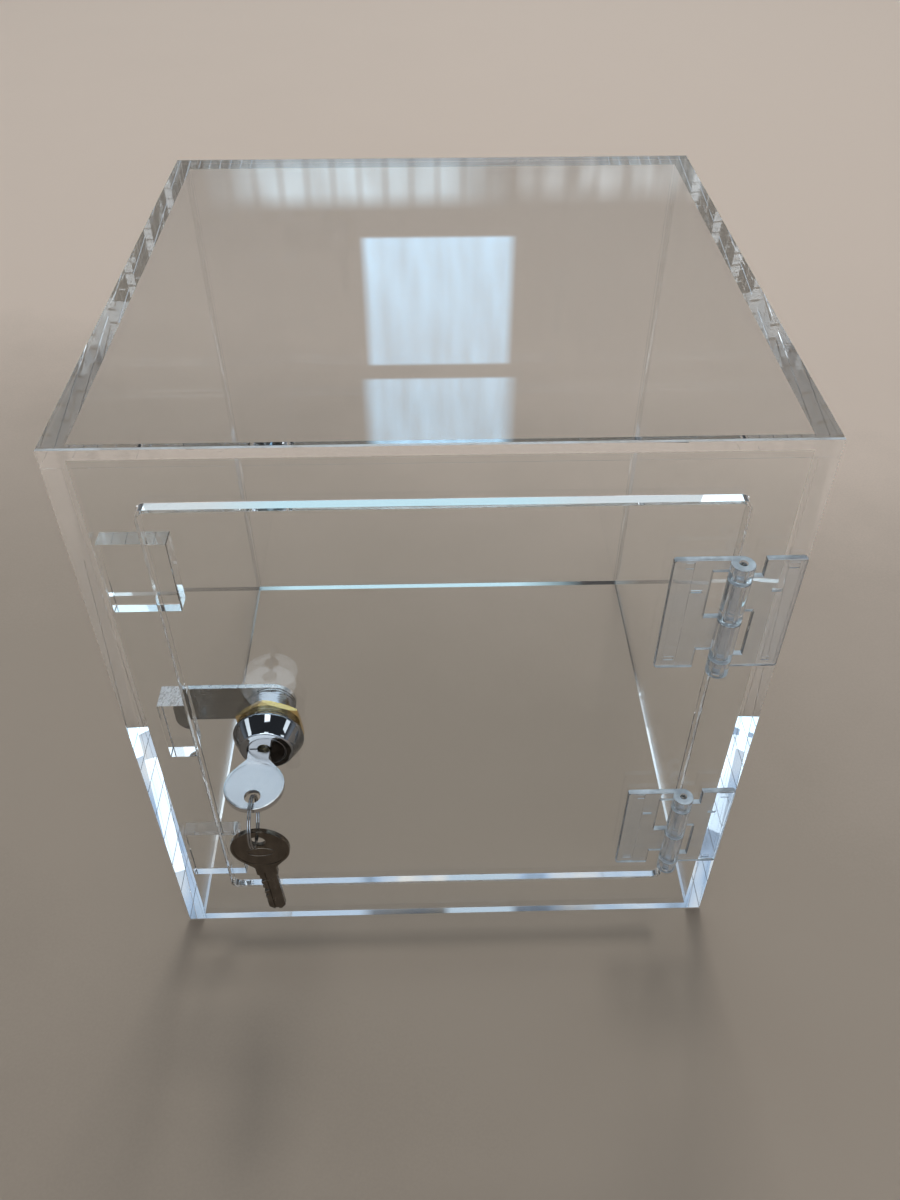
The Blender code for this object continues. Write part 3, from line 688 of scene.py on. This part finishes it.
plug = lathe("lock_turning_plug",
             [(0.0, 6.95), (6.02, 6.95), (6.16, 6.92), (6.25, 6.84), (6.3, 6.7), (6.3, -15.4),
              (6.1, -15.6), (0.0, -15.6)], 96, ON_LOCK, closed=False)
join_up(plug, box("tail", LOCK_X - 3, LOCK_X + 3, -92.4, -87.4, LOCK_Z - 3, LOCK_Z + 3, 0.25))
cutters = [box("keyway", LOCK_X - 5.55, LOCK_X + 1.15, -114.7, -91.1, LOCK_Z - 1.25,
               LOCK_Z + 1.25, 0.0),
           lathe("keyway_bulge", [(0.0, 9.2), (2.3, 9.2), (2.3, -2.0), (0.0, -2.0)], 40,
                 upright(FRONT, LOCK_X - 0.7, LOCK_Z + 0.9), closed=False),
           lathe("tail_hole", [(0.0, -16.1), (1.75, -16.1), (1.75, -20.0), (0.0, -20.0)], 32,
                 ON_LOCK, closed=False)]
for y in (-109.6, -106.6, -103.6, -100.6, -97.6):
    cutters += [box("wafer_slot", LOCK_X - 8, LOCK_X + 8, y - 0.8, y + 0.8, LOCK_Z - 2.95,
                    LOCK_Z + 2.95, 0.0),
                box("spring_pocket", LOCK_X - 3.2, LOCK_X + 2.4, y - 0.8, y + 0.8,
                    LOCK_Z + 2.0, LOCK_Z + 4.75, 0.0)]
cut(plug, *cutters)
finish_piece(plug, "lock_core", "lock_plug", PLUG)

square = [(-3.25, -3.25), (3.25, -3.25), (3.25, 3.25), (-3.25, 3.25)]
washer = plate("stop_washer_with_lug", [circle(0, 0, 7.7, 72), square], 0.5, on_lock(-89.5),
               0.08, 1)
join_up(washer, plate("lug", [arc(0, 0, 7.6, 174, 186, 6)
                              + list(reversed(arc(0, 0, 6.95, 174, 186, 6)))], 1.5,
                      on_lock(-90.3), 0.0))
finish_piece(washer, "lock_core", "stop_washer", SCREW)

hw, tip_r = 7.9, 5.5
arm = plate("cam_arm", [arc(0, 0, hw, -90, 90, 40)
                        + arc(-33.3 + tip_r, hw - tip_r, tip_r, 90, 180, 14)
                        + arc(-33.3 + tip_r, -hw + tip_r, tip_r, 180, 270, 14), square],
            1.8, on_lock(-88.1), 0.22, 2)
finish_piece(arm, "lock_core", "cam", STEEL)
arm.data.materials.append(SCREW)
for f in arm.data.polygons:
    f.material_index = int(abs(f.normal.y) < 0.9)

back = -87.2
spring_washer = lathe("cam_spring_washer",
                      [(2.1, 0.75), (2.2, 0.8), (4.85, 0.8), (5.03, 0.72), (5.1, 0.55),
                       (5.1, 0.25), (5.03, 0.08), (4.85, 0.0), (2.2, 0.0), (2.1, 0.05)],
                      64, on_lock(back + 1.1))
cut(spring_washer, box("split", LOCK_X + 1.0, LOCK_X + 6.0, back, back + 2.0, LOCK_Z + 0.2,
                       LOCK_Z + 0.7, 0.0))
finish_piece(spring_washer, "lock_core", "cam_washer", SCREW)

shank = []
for i in range(5):
    h = 5.3 - 0.6 * i
    shank += [(1.45, h), (1.45, h - 0.12), (1.2, h - 0.3), (1.2, h - 0.36)]
screw = lathe("cam_pan_head_screw",
              [(0.0, 5.9), (1.15, 5.9)] + shank
              + [(1.45, 2.2), (3.78, 2.2), (3.92, 2.1), (3.95, 1.9), (3.86, 1.4), (3.66, 0.95),
                 (3.3, 0.52), (2.75, 0.2), (2.1, 0.03), (1.6, 0.0), (0.0, 0.0)],
              72, on_lock(back + 3.6), closed=False)
recess = []
for k, turn in enumerate((45, -45)):
    c = block(f"cross_{k}", -2.1, 2.1, -0.4, 0.4, -1.3, 1.3, 0.12)
    c.data.transform(on_lock(back + 3.6) @ Matrix.Rotation(math.radians(turn), 4, "Z"))
    recess.append(c)
cut(screw, *recess)
finish_piece(screw, "lock_core", "cam_screw", SCREW)

# ---------------------------------------------------------------------------
# the keys: a round bow with a coined rim, a shouldered neck and a cut blade
# ---------------------------------------------------------------------------
KEY_X, NECK_END, BOW_Y, HOLE_Y, BOW_R = -2.4, -113.0, -127.5, -132.0, 9.7
WAFERS = (-109.6, -106.6, -103.6, -100.6, -97.6)


def key_outline():
    """The origin is where the neck meets the plug; +Y runs along the blade."""
    hn, hb, tip = 3.6, 2.95, -91.4 - NECK_END
    a = 42.0
    pts = [(hn, -4.0), (hn, 0.0), (hb, 0.4), (hb, tip - 2.2),
           (hb - 1.6, tip), (-hb + 1.6, tip), (-hb, tip - 1.6)]
    for y, d in reversed(list(zip(WAFERS, (1.5, 0.7, 1.9, 1.1, 0.5)))):
        y -= NECK_END
        pts += [(-hb, y + 0.35 + d * 0.55), (-hb + d, y + 0.35), (-hb + d, y - 0.35),
                (-hb, y - 0.35 - d * 0.55)]
    pts += [(-hb, 0.4), (-hn, 0.0), (-hn, -4.0)]
    return pts + arc(0.0, BOW_Y - NECK_END, BOW_R, 90 + a, 450 - a, 90)


def cut_key(name, place, oval):
    bow, hole = BOW_Y - NECK_END, HOLE_Y - NECK_END
    ob = plate(name, [key_outline(), circle(0.0, hole, 2.6, 56)], 1.9, Matrix(), 0.2, 2)
    cutters = []
    for side in (-1, 1):
        # the face inside the coined rim lies a little lower
        cutters.append(plate("field", [circle(0.0, bow, 8.75, 90)], 1.0,
                             Matrix.Translation((0, 0, side * (0.95 + 0.5 - 0.14) * MM)), 0.0))
        # the groove milled along the blade
        x = 0.35 * side
        z0, z1 = sorted((side * 0.5, side * 1.6))
        cutters.append(block("groove", x - 0.7, x + 0.7, -1.2, 24.0, z0, z1, 0.0))
    cut(ob, *cutters)
    if oval:
        loops = [[(a * math.cos(t), bow + 1.4 + b * math.sin(t))
                  for t in (2 * math.pi * i / 60 for i in range(60))]
                 for a, b in ((4.6, 2.35), (4.15, 1.9))]
        join_up(ob, plate("oval", loops, 0.3, Matrix.Translation((0, 0, -0.8 * MM)), 0.06, 1))
    ob.data.transform(place)
    return ob


key = cut_key("key_in_lock", Matrix.Translation(W(LOCK_X + KEY_X, NECK_END, LOCK_Z)), False)
finish_piece(key, "lock_key", "key", NICKEL, 30.0)

RING_R, DROP, LEAN, TILT = 8.3, 6.15, math.radians(7.0), math.radians(3.0)
ring_y = -135.9 - DROP * math.sin(LEAN)
ring_z = 116.8 - DROP * math.cos(LEAN)
grip = 1.8 + (NECK_END - HOLE_Y)
spare = cut_key("key_spare", Matrix.Translation(
    W(LOCK_X + KEY_X + grip * math.sin(TILT), ring_y, ring_z - RING_R - grip * math.cos(TILT)))
    @ Euler((-math.pi / 2, -TILT, 0.0)).to_matrix().to_4x4(), True)
finish_piece(spare, "hanging_key", "spare_key", NICKEL_2, 30.0)

# the split ring: two turns of wire side by side, with one step between them
cu = bpy.data.curves.new("split_ring_path", "CURVE")
cu.dimensions = "3D"
cu.bevel_depth = 0.3 * MM
cu.bevel_resolution = 5
cu.use_fill_caps = True
sp = cu.splines.new("POLY")
count = 220
sp.points.add(count)
for i, pt in enumerate(sp.points):
    k = 59.0 * i / count
    a = 2 * math.pi * (k + 0.5) / 30 + math.radians(200)
    t = min(max((k - 27) / 5.0, 0.0), 1.0)
    t = t * t * (3 - 2 * t)
    pt.co = ((-0.5 + t) * 0.7 * MM, RING_R * math.sin(a) * MM, RING_R * math.cos(a) * MM, 1.0)
tmp = bpy.data.objects.new("split_ring_path", cu)
scene.collection.objects.link(tmp)
bpy.context.view_layer.update()
me = bpy.data.meshes.new_from_object(tmp.evaluated_get(bpy.context.evaluated_depsgraph_get()))
bpy.data.objects.remove(tmp, do_unlink=True)
me.transform(Matrix.Translation(W(LOCK_X + KEY_X, ring_y, ring_z)))
ring = bpy.data.objects.new("split_ring", me)
scene.collection.objects.link(ring)
finish_piece(ring, "ring", "key_ring", WIRE, 50.0)

# the wafers and their springs keep their own shapes, inside the plug
for i in range(1, 6):
    for name, mat in ((f"wafer_{i}", BRASS_SOFT), (f"wafer_spring_{i}", SCREW)):
        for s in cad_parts[name].material_slots:
            s.material = mat

# ---------------------------------------------------------------------------
# floor, light and camera
# ---------------------------------------------------------------------------
bm = bmesh.new()
bmesh.ops.create_grid(bm, x_segments=8, y_segments=8, size=9.0)
bmesh.ops.translate(bm, vec=(0, 0, -0.0002), verts=bm.verts)
floor = to_object("floor", bm)
k = Nodes("floor_with_painted_light")
k.p.inputs["Roughness"].default_value = 0.8
k.p.inputs["Specular IOR Level"].default_value = 0.25
v = k.coords()
sep = k.new("ShaderNodeSeparateXYZ")
k.link(v, sep.inputs[0])
# painted light: paler towards the back and lighter in front towards the right, where the room's light falls
# brighter; the faint mottle is the floor's own
depth = k.math("ADD", k.span(sep.outputs["Y"], 0.0, 0.82, -0.15, 0.55),
               k.span(sep.outputs["X"], 0.0, 0.22, -0.20, 0.25))
near = k.math("MULTIPLY", k.span(sep.outputs["Y"], 0.36, 0.0, -0.42, -0.17),
              k.span(sep.outputs["X"], 0.0, 1.0, -0.22, 0.0))
depth = k.math("ADD", depth, near)
mottle = k.span(k.noise(v, 7.0, 5.0, 0.6), -0.05, 0.05, 0.3, 0.7)
grain = k.span(k.noise(v, 900.0, 2.0, 0.5), -0.02, 0.02, 0.3, 0.7)
tone = k.math("ADD", k.math("ADD", depth, mottle), grain)
k.link(k.ramp(tone, [(0.0, (0.440, 0.338, 0.262)), (0.10, (0.480, 0.369, 0.286)),
                     (0.30, (0.495, 0.381, 0.296)), (0.50, (0.610, 0.469, 0.372)),
                     (0.72, (0.850, 0.650, 0.522)), (1.0, (0.880, 0.672, 0.540))]),
       k.p.inputs["Base Color"])
floor.data.materials.append(k.m)

world = bpy.data.worlds.new("studio")
scene.world = world
world.use_nodes = True
wt = world.node_tree
bg = wt.nodes["Background"]
tc = wt.nodes.new("ShaderNodeTexCoord")
sep = wt.nodes.new("ShaderNodeSeparateXYZ")
ramp = wt.nodes.new("ShaderNodeValToRGB")
wt.links.new(tc.outputs["Generated"], sep.inputs[0])
wt.links.new(sep.outputs["Z"], ramp.inputs["Fac"])
stops = [(0.0, 0.26), (0.13, 0.22), (0.26, 0.08), (0.45, 0.04), (1.0, 0.035)]
el = ramp.color_ramp.elements
while len(el) < len(stops):
    el.new(0.5)
for e, (p, c) in zip(el, stops):
    e.position = p
    e.color = (c * 0.92, c, c * 1.10, 1.0)



def wnode(kind, a, b=None, c=None, op=None):
    """Adds a node to the world; numbers go on its sockets and outputs are linked."""
    n = wt.nodes.new(kind)
    if op:
        n.operation = op
    for i, v in enumerate((a, b, c)):
        if v is None:
            continue
        if isinstance(v, (int, float)):
            n.inputs[i].default_value = v
        else:
            wt.links.new(v, n.inputs[i])
    return n.outputs[0]


def wmath(op, a, b=None):
    return wnode("ShaderNodeMath", a, b, op=op)


def between(value, lo, hi, soft):
    """1 from lo to hi, with edges of the given softness."""
    up = wmath("MULTIPLY_ADD", value, 1.0 / soft)
    up.node.inputs[2].default_value = -lo / soft + 0.5
    up.node.use_clamp = True
    down = wmath("MULTIPLY_ADD", value, -1.0 / soft)
    down.node.inputs[2].default_value = hi / soft + 0.5
    down.node.use_clamp = True
    return wmath("MULTIPLY", up, down)


# a roof of light and shade high up at the back, uneven as daylight through panes is
az = wmath("MULTIPLY", wmath("ARCTAN2", sep.outputs["X"], sep.outputs["Y"]), 180 / math.pi)
elev = wmath("MULTIPLY", wmath("ARCSINE", sep.outputs["Z"]), 180 / math.pi)
across = wnode("ShaderNodeCombineXYZ", wmath("MULTIPLY", az, 0.20), wmath("MULTIPLY", elev, 0.16))
cloud = wt.nodes.new("ShaderNodeTexNoise")
cloud.inputs["Scale"].default_value = 1.0
cloud.inputs["Detail"].default_value = 2.0
wt.links.new(across, cloud.inputs["Vector"])
tone = wt.nodes.new("ShaderNodeValToRGB")
wt.links.new(cloud.outputs["Fac"], tone.inputs["Fac"])
te = tone.color_ramp.elements
while len(te) < 4:
    te.new(0.5)
for e, (p, c) in zip(te, [(0.36, (0.22, 0.31, 0.42)), (0.46, (0.42, 0.58, 0.80)),
                          (0.54, (0.62, 0.74, 0.88)), (0.66, (0.86, 0.88, 0.87))]):
    e.position = p
    e.color = (*c, 1.0)
mask = wmath("MULTIPLY", between(az, -42.0, 44.0, 4.0), between(elev, 46.5, 59.0, 2.0))
low_band = wmath("MULTIPLY", between(elev, 7.0, 34.0, 4.0),
                 between(wmath("ABSOLUTE", az), 126.0, 190.0, 10.0))
far_band = wmath("MULTIPLY", between(elev, 35.0, 40.0, 0.7), between(az, -42.0, 36.0, 5.0))
far_patch = wmath("MULTIPLY", between(elev, 35.0, 43.8, 0.7), between(az, -13.0, 9.0, 5.0))
mix = wt.nodes.new("ShaderNodeMix")
mix.data_type = "RGBA"
wt.links.new(mask, mix.inputs[0])
colour_in = [i for i in mix.inputs if i.type == "RGBA"]
wt.links.new(ramp.outputs["Color"], colour_in[0])
wt.links.new(tone.outputs["Color"], colour_in[1])
glow = wt.nodes.new("ShaderNodeMix")
glow.data_type = "RGBA"
wt.links.new(low_band, glow.inputs[0])
sockets = [i for i in glow.inputs if i.type == "RGBA"]
wt.links.new([o for o in mix.outputs if o.type == "RGBA"][0], sockets[0])
sockets[1].default_value = (0.60, 0.71, 0.84, 1.0)
lit = [o for o in glow.outputs if o.type == "RGBA"][0]
high = between(elev, 56.0, 62.8, 0.7)
high_left = wmath("MULTIPLY", high, between(az, -24.0, -7.5, 1.5))
high_mid = wmath("MULTIPLY", high, between(az, 1.0, 8.2, 1.0))
for strip, colour in ((far_band, (0.74, 0.83, 0.88, 1.0)), (far_patch, (0.62, 0.92, 1.05, 1.0)),
                      (high_left, (0.55, 0.71, 0.90, 1.0)), (high_mid, (0.55, 0.70, 0.84, 1.0))):
    over = wt.nodes.new("ShaderNodeMix")
    over.data_type = "RGBA"
    wt.links.new(strip, over.inputs[0])
    sockets = [i for i in over.inputs if i.type == "RGBA"]
    wt.links.new(lit, sockets[0])
    sockets[1].default_value = colour
    lit = [o for o in over.outputs if o.type == "RGBA"][0]
wt.links.new(lit, bg.inputs["Color"])
# straight to the camera the room is a plain warm grey
plain = wt.nodes.new("ShaderNodeBackground")
plain.inputs["Color"].default_value = (0.20, 0.178, 0.158, 1.0)
path = wt.nodes.new("ShaderNodeLightPath")
choose = wt.nodes.new("ShaderNodeMixShader")
wt.links.new(path.outputs["Is Camera Ray"], choose.inputs[0])
wt.links.new(bg.outputs[0], choose.inputs[1])
wt.links.new(plain.outputs[0], choose.inputs[2])
wt.links.new(choose.outputs[0],
             [n for n in wt.nodes if n.type == "OUTPUT_WORLD"][0].inputs["Surface"])

CENTRE = Vector((0.0, CASE_Y * MM, 0.12))


def area(name, centre, size, turn, radiance, colour):
    """A rectangular soft light; radiance is the brightness of its face."""
    li = bpy.data.lights.new(name, "AREA")
    li.shape = "RECTANGLE"
    li.size, li.size_y = size
    li.energy = radiance * math.pi * size[0] * size[1]
    li.color = colour
    ob = bpy.data.objects.new(name, li)
    scene.collection.objects.link(ob)
    ob.location = centre
    ob.rotation_euler = turn
    ob.visible_camera = False
    return ob


def panel(name, az0, az1, el0, el1, dist, radiance, colour):
    """A soft light facing the case, between these directions as seen from it."""
    az, el = math.radians((az0 + az1) / 2), math.radians((el0 + el1) / 2)
    way = Vector((math.sin(az) * math.cos(el), math.cos(az) * math.cos(el), math.sin(el)))
    size = (2 * dist * math.tan(math.radians(az1 - az0) / 2) * math.cos(el),
            2 * dist * math.tan(math.radians(el1 - el0) / 2))
    return area(name, CENTRE + way * dist, size, (-way).to_track_quat("-Z", "Y").to_euler(),
                radiance, colour)


def wall_light(name, az0, az1, el0, el1, dist, radiance, colour):
    """A soft light standing upright at the back, between these directions."""
    x0, x1 = dist * math.tan(math.radians(az0)), dist * math.tan(math.radians(az1))
    z0, z1 = dist * math.tan(math.radians(el0)), dist * math.tan(math.radians(el1))
    return area(name, ((x0 + x1) / 2, dist, (z0 + z1) / 2 + 0.2), (x1 - x0, z1 - z0),
                Vector((0, -1, 0)).to_track_quat("-Z", "Y").to_euler(), radiance, colour)


def uneven(ob, stripes, rise, low, high, soft, panes=0, fade=0.02):
    """Varies a light over its face as a window's glass does, softening its outline."""
    global wt
    keep = wt
    ob.data.use_nodes = True
    wt = ob.data.node_tree
    em = [n for n in wt.nodes if n.type == "EMISSION"][0]
    geo = wt.nodes.new("ShaderNodeNewGeometry")
    split = wt.nodes.new("ShaderNodeSeparateXYZ")
    wt.links.new(geo.outputs["Parametric"], split.inputs[0])
    u, v = split.outputs["X"], split.outputs["Y"]
    spot = wnode("ShaderNodeCombineXYZ", wmath("MULTIPLY", u, stripes), wmath("MULTIPLY", v, rise))
    cloud = wt.nodes.new("ShaderNodeTexNoise")
    cloud.inputs["Scale"].default_value = 1.0
    cloud.inputs["Detail"].default_value = 1.5
    wt.links.new(spot, cloud.inputs["Vector"])
    level = wt.nodes.new("ShaderNodeMapRange")
    wt.links.new(cloud.outputs["Fac"], level.inputs["Value"])
    for key, val in (("From Min", 0.3), ("From Max", 0.7), ("To Min", low), ("To Max", high)):
        level.inputs[key].default_value = val
    edge = wmath("MULTIPLY", between(u, soft, 1 - soft, soft * 2), between(v, fade / 2, 1 - fade / 2, fade))
    strength = wmath("MULTIPLY", level.outputs["Result"], edge)
    if panes:
        bars = wmath("MULTIPLY_ADD", between(wmath("FRACT", wmath("MULTIPLY", u, panes)),
                                             0.14, 0.86, 0.14), 0.4)
        bars.node.inputs[2].default_value = 0.6
        strength = wmath("MULTIPLY", strength, bars)
    wt.links.new(strength, em.inputs["Strength"])
    wt = keep


COOL, PALE, SKY, BLUE = (0.90, 0.97, 1.0), (0.78, 0.92, 1.0), (0.62, 0.85, 1.0), (0.42, 0.73, 1.0)
area("roof_over", (0.0, 0.4, 4.0), (1.1, 3.2), (0, 0, 0), 2.55, COOL)
behind = panel("roof_behind", -2, 18, 55, 65, 4.0, 20.0, COOL)
behind.visible_glossy = behind.visible_transmission = False
panel("left_window", -110, -74, 20, 33, 3.6, 1.6, COOL)
panel("right_window", 74, 110, 20, 33, 3.6, 1.6, COOL)
panel("near_window_left", -168, -149, 17, 29, 3.6, 1.5, COOL)
panel("near_window_mid", 161, 177, 15, 21.5, 3.6, 0.25, COOL)
panel("near_window_side", 197, 229, 15, 21.5, 3.6, 0.25, PALE)
panel("near_window_right", 149, 168, 17, 29, 3.6, 1.5, COOL)
front = panel("front_high", 150, 210, 32, 58, 3.6, 3.0, COOL)
front.visible_diffuse = front.visible_transmission = False
panel("far_left", -44, -21, 36, 46, 3.8, 1.5, SKY)
for middle in (panel("far_middle", 0, 12, 39, 46, 3.8, 1.2, COOL),
               panel("far_middle_left", -15, -0.4, 39, 46, 3.8, 0.75, PALE)):
    middle.visible_transmission = False
panel("far_spot_left", -24, -13, 46, 52, 3.8, 0.85, PALE)
panel("far_spot_right", 13, 25, 47, 54, 3.8, 0.85, PALE)
panel("far_right", 20, 46, 36, 46, 3.8, 1.6, SKY)
panel("far_low_left", -62, -31, 24, 35, 3.8, 0.75, PALE)
panel("far_low_right", 32, 63, 24, 35, 3.8, 0.75, PALE)
uneven(wall_light("window_low", -4.4, 5.8, 22.8, 30.2, 3.0, 2.5, BLUE), 9.0, 1.5, 0.80, 1.15,
       0.03)
uneven(wall_light("window_high", -4.9, 6.3, 30.9, 36.0, 3.0, 3.0, BLUE), 9.0, 1.0, 0.70, 1.1,
       0.05)
uneven(wall_light("far_windows_mid", -13.5, 5.5, 18.0, 21.4, 3.0, 1.6, SKY), 7.0, 0.5, 0.5, 1.3,
       0.15, 12, 0.3)
uneven(wall_light("far_windows_right", 5.0, 19.0, 18.0, 21.2, 3.0, 0.85, PALE), 9.0, 0.5, 0.1, 1.3,
       0.1, 8, 0.4)


yaw, pitch, roll = math.radians(1.38296), math.radians(42.52906), math.radians(-0.04426)
fw = Vector((math.sin(yaw) * math.cos(pitch), math.cos(yaw) * math.cos(pitch), -math.sin(pitch)))
rt = Vector((math.cos(yaw), -math.sin(yaw), 0.0))
up = rt.cross(fw)
r2 = rt * math.cos(roll) + up * math.sin(roll)
u2 = up * math.cos(roll) - rt * math.sin(roll)
cam = bpy.data.cameras.new("camera")
cam.lens = 1005.73 / 1200 * 36.0
cam.sensor_width = 36.0
cam.clip_start, cam.clip_end = 0.01, 60.0
camera = bpy.data.objects.new("camera", cam)
scene.collection.objects.link(camera)
rot = Matrix((r2, u2, -fw)).transposed().to_4x4()
camera.matrix_world = Matrix.Translation((-0.003509, -0.326376 + CASE_Y * MM, 0.379028)) @ rot
scene.camera = camera

scene.view_settings.view_transform = "Standard"
scene.cycles.max_bounces = 128
scene.cycles.transmission_bounces = 128
scene.cycles.glossy_bounces = 128
scene.cycles.diffuse_bounces = 4
scene.cycles.transparent_max_bounces = 64
scene.cycles.sample_clamp_indirect = 6.0
scene.cycles.blur_glossy = 0.3

bpy.context.view_layer.update()
